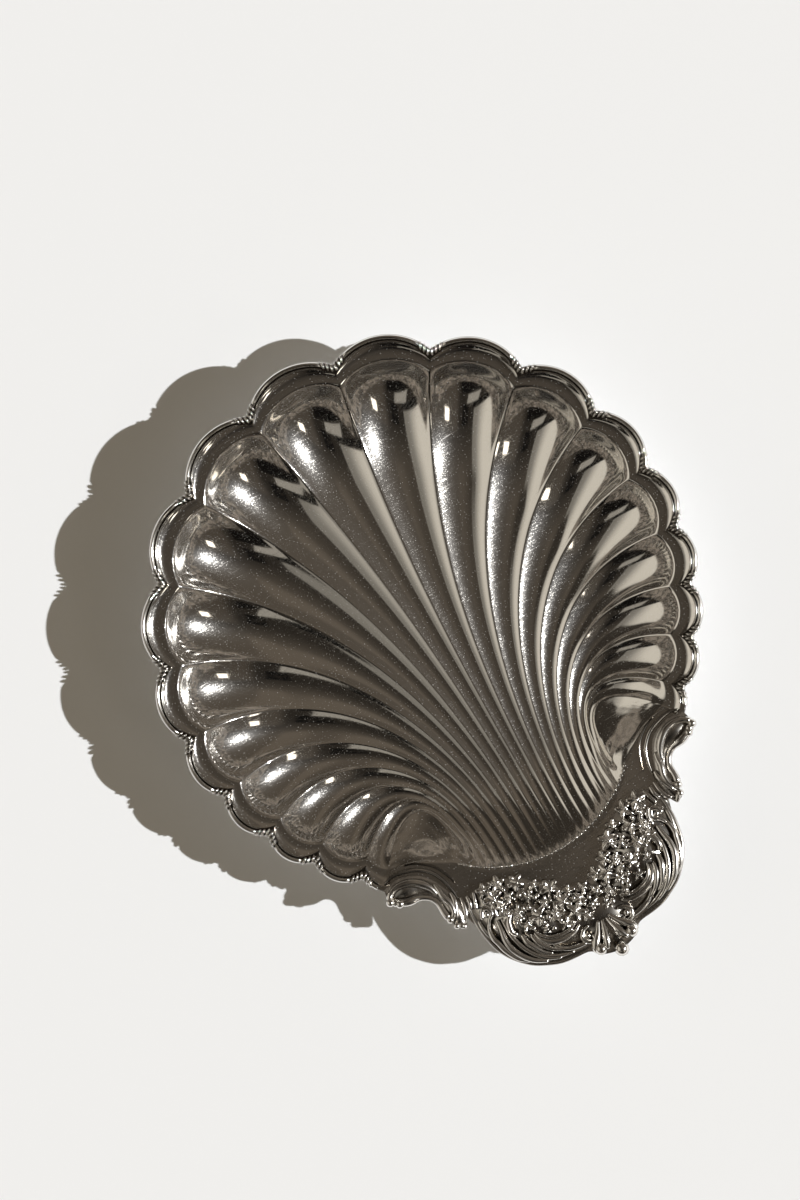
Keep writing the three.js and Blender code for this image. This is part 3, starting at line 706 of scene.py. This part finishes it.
straps, plate, flowers, beads = (make(mountSilver) for make in (strapTree, plateTree, flowerTree, beadTree))


def outlineMesh(name, points):
    spots = flow(points + [points[0]], 6 * len(points))[0][:-1]
    mesh = bpy.data.meshes.new(name)
    count = len(spots)
    mesh.from_pydata([(x, y, 0) for x, y in spots], [(i, (i + 1) % count) for i in range(count)], [])
    return mesh


# scroll beside the handle, in shares of the line from the end of the border to its tail
scrollSize = {
    "gap": 1.5, "tail": 0.21,
    "ground": [(0.02, -0.03), (0.06, -0.12), (0.14, -0.24), (0.3, -0.33), (0.46, -0.34), (0.62, -0.31),
               (0.8, -0.25), (0.92, -0.17), (1.0, -0.04), (0.94, 0.02), (0.88, 0.01), (0.82, -0.04),
               (0.73, -0.05), (0.68, -0.1), (0.62, -0.13), (0.53, -0.15), (0.43, -0.12), (0.37, -0.05),
               (0.31, 0.01), (0.2, 0.07), (0.11, 0.06)],
    "rolls": [
        ([(0.12, 0.06), (0.105, -0.02), (0.14, -0.12), (0.23, -0.205), (0.35, -0.25), (0.46, -0.255),
          (0.57, -0.22)],
         (1.6, 1.3, 1.5, 1.8, 1.9, 1.5, 0.8), 1.7),
        ([(0.15, 0.06), (0.235, 0.03), (0.32, -0.02), (0.41, -0.11), (0.51, -0.15), (0.61, -0.14), (0.72, -0.07),
          (0.8, -0.03)],
         (1.9, 1.6, 1.9, 1.3, 1.2, 1.3, 1.5, 1.6), 1.0),
        ([(0.48, -0.31), (0.56, -0.27), (0.62, -0.23), (0.73, -0.19), (0.81, -0.12), (0.82, -0.04)],
         (0.6, 1.2, 1.5, 1.4, 1.3, 1.0), 1.6),
        ([(0.68, -0.3), (0.76, -0.24), (0.82, -0.15), (0.87, -0.07)], (0.6, 1.2, 1.3, 0.9), 1.4),
        ([(0.8, -0.3), (0.88, -0.23), (0.94, -0.15), (0.96, -0.08)], (0.5, 1.0, 1.1, 0.8), 1.1),
        ([(0.88, 0.0), (0.95, -0.02), (1.01, -0.03)], (1.0, 1.3, 0.8), 0.8),
        ([(0.0, -0.08), (0.04, -0.19), (0.16, -0.31), (0.29, -0.385), (0.44, -0.41), (0.56, -0.385),
          (0.69, -0.33), (0.8, -0.26)],
         (0.5, 0.8, 0.9, 0.9, 0.8, 0.7, 0.4), 0.5),
        ([(0.1, -0.35), (0.22, -0.43), (0.4, -0.48), (0.56, -0.46), (0.7, -0.41)], (0.3, 0.6, 0.6, 0.6, 0.3), 0.1),
    ],
    "beads": [(0.14, 0.07, 1.9), (0.24, 0.04, 1.9), (0.81, -0.03, 1.7), (0.9, 0.0, 1.5)],
}


def scrollSpots():
    side = borderStop
    half = shellPlan["Ear lobe"]
    notch = shellPlan["Shell radius"]
    chord = 2 * notch * math.sin(half)
    rise = shellPlan["Rim bulge"] * chord
    arc = chord ** 2 / (8 * rise) + rise / 2
    middle = notch * math.cos(half) + rise - arc
    off = (lastRidge - side) * half
    far = middle * math.cos(off) + math.sqrt(arc ** 2 - (middle * math.sin(off)) ** 2)
    span = (shellPlan["Lobes"] + 0.5) * shellPlan["Lobe mean"] - shellPlan["Lobe spread"] / 2
    angle = span + half * (side - shellPlan["Lobes"] - 0.5) + scrollSize["gap"] * mm / notch
    top = np.array((far * math.sin(angle), far * math.cos(angle)))
    tailX = crestPlan["Crest half"] + crestPlan["Scroll clear"]
    tailY = -crestPlan["Crest near"] - scrollSize["tail"] * crestPlan["Crest depth"]
    return top, np.array((tailX, tailY))


scrollTop, scrollTail = scrollSpots()


def scrollSpot(along, out, hand):
    line = scrollTail - scrollTop
    x, y = scrollTop + line * along + np.array((-line[1], line[0])) * out
    return (x * hand, y + centreY)


for hand, node in ((-1, "scroll_left"), (1, "scroll_right")):
    ground = outlineMesh(node + "Ground", [scrollSpot(*spot, hand) for spot in scrollSize["ground"]])
    rolls = [([scrollSpot(*spot, hand) for spot in line], [w * mm for w in widths], mountBase + lift * mm)
             for line, widths, lift in scrollSize["rolls"]]
    dots = [(*scrollSpot(along, out, hand), mountTop + girth * 0.35 * mm) for along, out, girth in scrollSize["beads"]]
    girths = [girth * mm for _, _, girth in scrollSize["beads"]]
    parts = [
        meshFromTree(node + "Plate", plate, None, ground),
        meshFromTree(node + "Rolls", straps, None, pathMesh(node + "Lines", rolls)),
        meshFromTree(node + "Knobs", beads, None, girthMesh(node + "Beads", dots, [], girths)),
    ]
    handIn(joinPieces(node + "Ornament", parts), node)
print("scrolls made")

# handle crest, in half widths from the axis and shares of its depth from the shoulders to the tip
crestSize = {
    "ends": (0.38, 0.985), "steps": 200,
    "ground": [(0.2, 0.3), (0.36, 0.15), (0.52, 0.04), (0.7, -0.02), (0.87, -0.02), (0.965, 0.05), (0.985, 0.15),
               (0.975, 0.28), (0.945, 0.42), (0.875, 0.57), (0.765, 0.69), (0.61, 0.785), (0.43, 0.85),
               (0.25, 0.875), (0.17, 0.945)],
    "rolls": [
        ([(0.92, 0.01), (0.965, 0.1), (0.975, 0.22), (0.965, 0.34), (0.93, 0.48), (0.86, 0.6), (0.745, 0.715),
          (0.63, 0.78), (0.5, 0.83), (0.34, 0.85), (0.2, 0.84)],
         (0.6, 0.8, 0.8, 0.8, 0.8, 0.6), 0.9),
        ([(0.95, 0.2), (0.95, 0.27), (0.94, 0.34), (0.92, 0.42)], (0.6, 0.9, 0.8, 0.4), 1.4),
        ([(0.885, 0.26), (0.91, 0.32), (0.915, 0.39), (0.9, 0.44), (0.875, 0.53), (0.82, 0.63), (0.74, 0.7)],
         (0.7, 1.1, 1.2, 1.0, 0.5), 1.8),
        ([(0.81, 0.27), (0.82, 0.36), (0.835, 0.44), (0.825, 0.53), (0.775, 0.63), (0.7, 0.71), (0.6, 0.77)],
         (0.7, 1.3, 1.4, 1.2, 0.6), 2.3),
        ([(0.765, 0.28), (0.77, 0.38), (0.765, 0.47), (0.73, 0.58), (0.665, 0.68), (0.58, 0.755), (0.48, 0.8)],
         (0.7, 1.1, 1.2, 1.1, 0.5), 1.8),
        ([(0.78, 0.43), (0.755, 0.53), (0.69, 0.64), (0.59, 0.73), (0.47, 0.785), (0.36, 0.81)],
         (0.5, 1.0, 1.2, 1.1, 0.5), 1.4),
        ([(0.685, 0.47), (0.68, 0.55), (0.645, 0.62), (0.595, 0.69), (0.53, 0.735)], (0.9, 1.4, 1.3, 0.9, 0.4), 2.4),
        ([(0.62, 0.51), (0.6, 0.6), (0.54, 0.68), (0.475, 0.73), (0.4, 0.76)], (0.8, 1.2, 1.1, 0.8, 0.4), 2.2),
        ([(0.5, 0.66), (0.465, 0.72), (0.4, 0.765), (0.31, 0.79), (0.23, 0.8)], (0.5, 1.0, 1.1, 1.1, 0.9), 1.7),
        ([(0.585, 0.51), (0.56, 0.59), (0.5, 0.645), (0.395, 0.675), (0.28, 0.675), (0.21, 0.64)],
         (0.6, 1.2, 1.5, 1.5, 1.2, 0.6), 2.1),
        ([(0.57, 0.49), (0.55, 0.55), (0.49, 0.605), (0.395, 0.635), (0.29, 0.635), (0.22, 0.6)],
         (0.4, 0.7, 0.8, 0.8, 0.7, 0.4), 3.2),
        ([(0.67, 0.28), (0.73, 0.34), (0.745, 0.42), (0.71, 0.465)], (0.8, 1.4, 1.4, 0.8), 2.6),
        ([(0.91, 0.215), (0.885, 0.155), (0.835, 0.145), (0.815, 0.205), (0.865, 0.245), (0.9, 0.3)],
         (1.0, 1.1, 1.1, 1.0, 0.8, 0.5), 2.2),
        ([(0.83, 0.115), (0.785, 0.18), (0.79, 0.26)], (0.6, 1.1, 0.7), 2.4),
        ([(0.75, 0.08), (0.72, 0.17), (0.745, 0.26)], (0.6, 1.2, 0.8), 2.4),
        ([(0.93, -0.02), (0.935, 0.05), (0.96, 0.1)], (0.6, 1.0, 0.7), 1.5),
        ([(0.86, -0.02), (0.885, 0.05), (0.91, 0.12)], (0.6, 0.9, 0.7), 1.6),
        ([(0.14, 0.69), (0.2, 0.7), (0.245, 0.745), (0.22, 0.8), (0.165, 0.81), (0.15, 0.765)],
         (0.6, 0.9, 1.1, 1.0, 0.9, 0.7), 2.0),
        ([(0.05, 0.69), (0.12, 0.79), (0.185, 0.86), (0.19, 0.92)], (0.7, 1.3, 2.0, 1.4), 1.6),
        ([(0.02, 0.7), (0.05, 0.8), (0.08, 0.88), (0.11, 0.93)], (0.6, 1.2, 1.7, 1.2), 2.2),
    ],
    "beads": [(0.86, 0.195, 1.3), (0.195, 0.755, 1.5), (0.155, 0.9, 2.7), (0.0, 0.985, 3.1)],
    "upper": [(0.86, 0.02), (0.69, 0.01), (0.55, 0.05), (0.43, 0.12), (0.33, 0.22), (0.2, 0.32), (0.0, 0.4)],
    "lower": [(0.74, 0.22), (0.68, 0.34), (0.57, 0.46), (0.42, 0.57), (0.24, 0.6), (0.0, 0.63)],
    "rows": [(0.02, 13, 3.9), (0.36, 12, 4.1), (0.7, 11, 4.0), (1.0, 10, 3.3)], "berries": 60, "seed": 11,
}


def crestSpot(across, down):
    return (across * crestPlan["Crest half"], centreY - crestPlan["Crest near"] - down * crestPlan["Crest depth"])


def crossLine(points):
    left = [crestSpot(-x, y) for x, y in points]
    right = [crestSpot(x, y) for x, y in reversed(points[:-1])]
    return flow(left + right, crestSize["steps"])[0]


def crestPiece():
    near, tip = crestSize["ends"]
    right = crestSize["ground"]
    left = [(-x, y) for x, y in reversed(right)]
    ground = outlineMesh("crestGround", [crestSpot(*spot) for spot in [(0, near), *right, (0, tip), *left]])
    rolls, dots = [], []
    for hand in (-1, 1):
        for line, widths, lift in crestSize["rolls"]:
            spots = [crestSpot(x * hand, y) for x, y in line]
            rolls.append((spots, [w * mm for w in widths], mountBase + lift * mm))
        for x, y, girth in crestSize["beads"]:
            if x or hand > 0:
                dots.append((x * hand, y, girth))
    draw = random.Random(crestSize["seed"])
    upper, lower = crossLine(crestSize["upper"]), crossLine(crestSize["lower"])
    last = crestSize["steps"] - 1
    blooms, girths = [], []
    for share, count, girth in crestSize["rows"]:
        for i in range(count):
            at = min(last, int(last * (i + 0.5) / count))
            x, y = upper[at] + (lower[at] - upper[at]) * share
            size = girth * draw.uniform(0.7, 1.2) * mm
            rise = draw.uniform(0.2, 0.8) + 0.6 * (1 - (2 * share - 1) ** 2)
            blooms.append((x + draw.uniform(-0.6, 0.6) * mm, y + draw.uniform(-0.6, 0.6) * mm, mountTop + rise * mm))
            girths.append(size)
    berries = []
    for _ in range(crestSize["berries"]):
        at = draw.randrange(4, last - 3)
        x, y = upper[at] + (lower[at] - upper[at]) * draw.uniform(0.1, 1.1)
        berries.append((x, y, mountTop + draw.uniform(1.2, 2.6) * mm, draw.uniform(0.9, 1.3) * mm))
    knobs = [(*crestSpot(x, y), mountTop + girth * 0.3 * mm, girth * mm) for x, y, girth in dots] + berries
    grains = [knob[:3] for knob in knobs], [], [knob[3] for knob in knobs]
    parts = [
        meshFromTree("crestPlate", plate, None, ground),
        meshFromTree("crestRolls", straps, None, pathMesh("crestLines", rolls)),
        meshFromTree("crestFlowers", flowers, None, girthMesh("crestBlooms", blooms, [], girths)),
        meshFromTree("crestBeads", beads, None, girthMesh("crestGrains", *grains)),
    ]
    return joinPieces("crestOrnament", parts)


handIn(crestPiece(), "handle_crest")
print("crest made")

# bun feet, turned
footSize = {"Around": 48, "Rows": 44, "Foot radius": 0.0065, "X": 0.0, "Y": 0.0, "Top": 0.011}


def footTree():
    tree, size, sink = newTree("bunFoot", footSize)
    gridX, gridY, _ = fieldAxes(tree, "GeometryNodeInputPosition")
    turn = gridX * 2.0 * math.pi
    t = gridY + 0.5
    wide = size["Foot radius"]
    bun = clamp((t - 0.12) / 0.5, 0.0, 1.0) * math.pi * 0.92 - math.pi / 2.0
    neck = clamp((t - 0.62) / 0.36, 0.0, 1.0)
    across = wide * (0.55 * clamp(t / 0.12, 0.0, 1.0) + 0.45 * cosine(bun) + 0.3 * neck * neck)
    across = across * above(0.995 - t, 0.0)  # closed at the top
    x, y = size["X"] + across * cosine(turn), size["Y"] + across * sine(turn)
    z = blend(wide * 0.54 * (1.0 + sine(bun)), size["Top"], neck)
    grid = unitGrid(tree, size["Around"] + 1.0, size["Rows"] + 1.0)
    finishTree(tree, sink, welded(tree, moved(tree, grid, x, y, z)), footSilver)
    return tree


footShape = footTree()
for node in ("foot_front_left", "foot_front_right", "foot_heel"):
    low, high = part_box(node)
    place = {"X": (low.x + high.x) / 2, "Y": (low.y + high.y) / 2, "Top": high.z - 1.6 * mm}
    handIn(meshFromTree(node + "Bun", footShape, place), node)
print("feet made")

# floor, lamp, room and camera
stageSize = {
    "Floor": 3.0, "Floor tone": (0.845, 0.87, 0.905), "Floor roughness": 0.75,
    "Key strength": 4.25, "Key height": 37.6, "Key angle": 0.7, "Key tone": (1.0, 0.99, 0.97),
}
camera = {
    "Distance": 3.0, "Turn": -30.8, "Centre": (-0.00495, 0.0112), "View height": 0.4913, "Plane": 0.030, "Sensor": 36.0,
}

floorMesh = bpy.data.meshes.new("floor")
half = stageSize["Floor"]
floorMesh.from_pydata([(-half, -half, 0), (half, -half, 0), (half, half, 0), (-half, half, 0)], [], [(0, 1, 2, 3)])
floor = bpy.data.objects.new("floor", floorMesh)
scene.collection.objects.link(floor)
floorPaint = bpy.data.materials.new("floorPaint")
floorPaint.use_nodes = True
floorSkin = floorPaint.node_tree.nodes["Principled BSDF"]
floorSkin.inputs["Base Color"].default_value = (*stageSize["Floor tone"], 1)
floorSkin.inputs["Roughness"].default_value = stageSize["Floor roughness"]
floorMesh.materials.append(floorPaint)

turn = math.radians(camera["Turn"])
imageRight = Vector((math.cos(turn), math.sin(turn), 0))
imageUp = Vector((-math.sin(turn), math.cos(turn), 0))

sunData = bpy.data.lights.new("keyLamp", "SUN")
sunData.energy = stageSize["Key strength"]
sunData.angle = math.radians(stageSize["Key angle"])
sunData.color = stageSize["Key tone"]
sun = bpy.data.objects.new("keyLamp", sunData)
scene.collection.objects.link(sun)
height = math.radians(stageSize["Key height"])
sunFrom = (imageRight + imageUp * 0.02).normalized() * math.cos(height) + Vector((0, 0, math.sin(height)))
sun.rotation_euler = sunFrom.to_track_quat("Z", "Y").to_euler()

# room that the metal mirrors: patches between four limits, across and up the picture
roomSize = {
    "Wall": (-2.0, -0.35, -0.57, 2.0), "Pane": (-0.32, 0.1, -0.79, -0.64), "Pane bend": -0.25,
    "Window": (0.55, 0.68, -0.58, -0.42), "Gloom": ((-2.0, 0.15, -2.0, -0.79), (-2.0, -0.3, -0.66, -0.57)),
    "Clutter": (-0.16, 0.1, -0.66, -0.36), "Dark spot": (0.0125, 0.0216, -0.06, -0.032),
    "Warm spot": (0.0216, 0.034, -0.045, -0.018), "Side glow": (0.15, 2.0, -2.0, -0.2),
    "Top glow": (-0.1, 0.25, -2.0, 2.0),
}
roomTones = {
    "brown": (1.0, 0.83, 0.65), "pale": (1.0, 0.935, 0.82), "low": (1.0, 0.86, 0.71), "fill": (0.075, 0.055, 0.028),
}

world = bpy.data.worlds.new("room")
scene.world = world
world.use_nodes = True
roomTree = world.node_tree
back = roomTree.nodes["Background"]
lookX, lookY, dz = axesOf(roomTree, roomTree.nodes.new("ShaderNodeTexCoord").outputs["Generated"])
dx = lookX * imageRight.x + lookY * imageRight.y
dy = lookX * imageUp.x + lookY * imageUp.y


def edgeStep(value, low, high):
    node = addNode(roomTree, "ShaderNodeMapRange", {"Value": value, "From Min": low, "From Max": high},
                   interpolation_type="SMOOTHSTEP")
    return Calc(roomTree, node.outputs["Result"])


def patch(limits, soft=0.02, bend=0.0):
    left, right, bottom, top = limits
    x = dx + dy * bend
    return (edgeStep(x, left, left + soft) * (1.0 - edgeStep(x, right - soft, right))
            * edgeStep(dy, bottom, bottom + soft) * (1.0 - edgeStep(dy, top - soft, top)))


def roomNoise(scale, low, high):
    noise = addNode(roomTree, "ShaderNodeTexNoise", {"Scale": scale, "Detail": 3.0, "Distortion": 1.2})
    return edgeStep(Calc(roomTree, noise.outputs["Fac"]), low, high)


high = edgeStep(dz, 0.26, 0.32)
wallTop = smaller(larger(-dx - 0.48, 0.0) * 1.6, dx * -0.5)
wall = patch(roomSize["Wall"]) * (1.0 - edgeStep(dy - wallTop, 0.03, 0.16)) * high
pane = patch(roomSize["Pane"], bend=roomSize["Pane bend"]) * high
window = patch(roomSize["Window"])
gloom = patch(roomSize["Gloom"][0]) + patch(roomSize["Gloom"][1])
clutter = patch(roomSize["Clutter"]) * roomNoise(9.0, 0.45, 0.5) + patch(roomSize["Dark spot"], 0.0008)
dusk = edgeStep(dy, 0.02, 0.2) * (1.0 - edgeStep(dx, -0.3, -0.1))
brown = 0.02 + 0.058 * edgeStep(dy, -0.5, 0.4) * (1.0 - 0.85 * dusk) + 0.04 * patch(roomSize["Side glow"], 0.2)
brown = brown + 0.035 * edgeStep(dy, 0.0, 0.3) * patch(roomSize["Top glow"], 0.1)
brown = brown + 0.06 * patch(roomSize["Warm spot"], 0.001)
brown = brown * (1.0 - clamp(gloom + clutter, 0.0, 1.0) * 0.88) * (1.0 - wall) * (1.0 - pane) * high
pale = wall * (0.2 + 0.42 * edgeStep(-dx, 0.45, 0.8)) + pane * 0.3 + window * 2.5
low = (1.0 - high) * (0.05 + 0.2 * roomNoise(12.0, 0.42, 0.6))
fill = Calc(roomTree, addNode(roomTree, "ShaderNodeLightPath").outputs["Is Diffuse Ray"])  # for the floor's shadow
tint = addNode(roomTree, "ShaderNodeCombineColor", {
    channel: brown * roomTones["brown"][channel] + pale * roomTones["pale"][channel]
    + low * roomTones["low"][channel] + fill * roomTones["fill"][channel] for channel in range(3)})
roomTree.links.new(tint.outputs[0], back.inputs["Color"])

lens = bpy.data.cameras.new("camera")
lens.sensor_width = camera["Sensor"]
lens.lens = camera["Sensor"] * camera["Distance"] / camera["View height"]
lens.clip_end = 100.0
eye = bpy.data.objects.new("camera", lens)
scene.collection.objects.link(eye)
eye.location = (camera["Centre"][0], camera["Centre"][1] + centreY, camera["Plane"] + camera["Distance"])
eye.rotation_euler = (0, 0, turn)
scene.camera = eye
print("stage set")
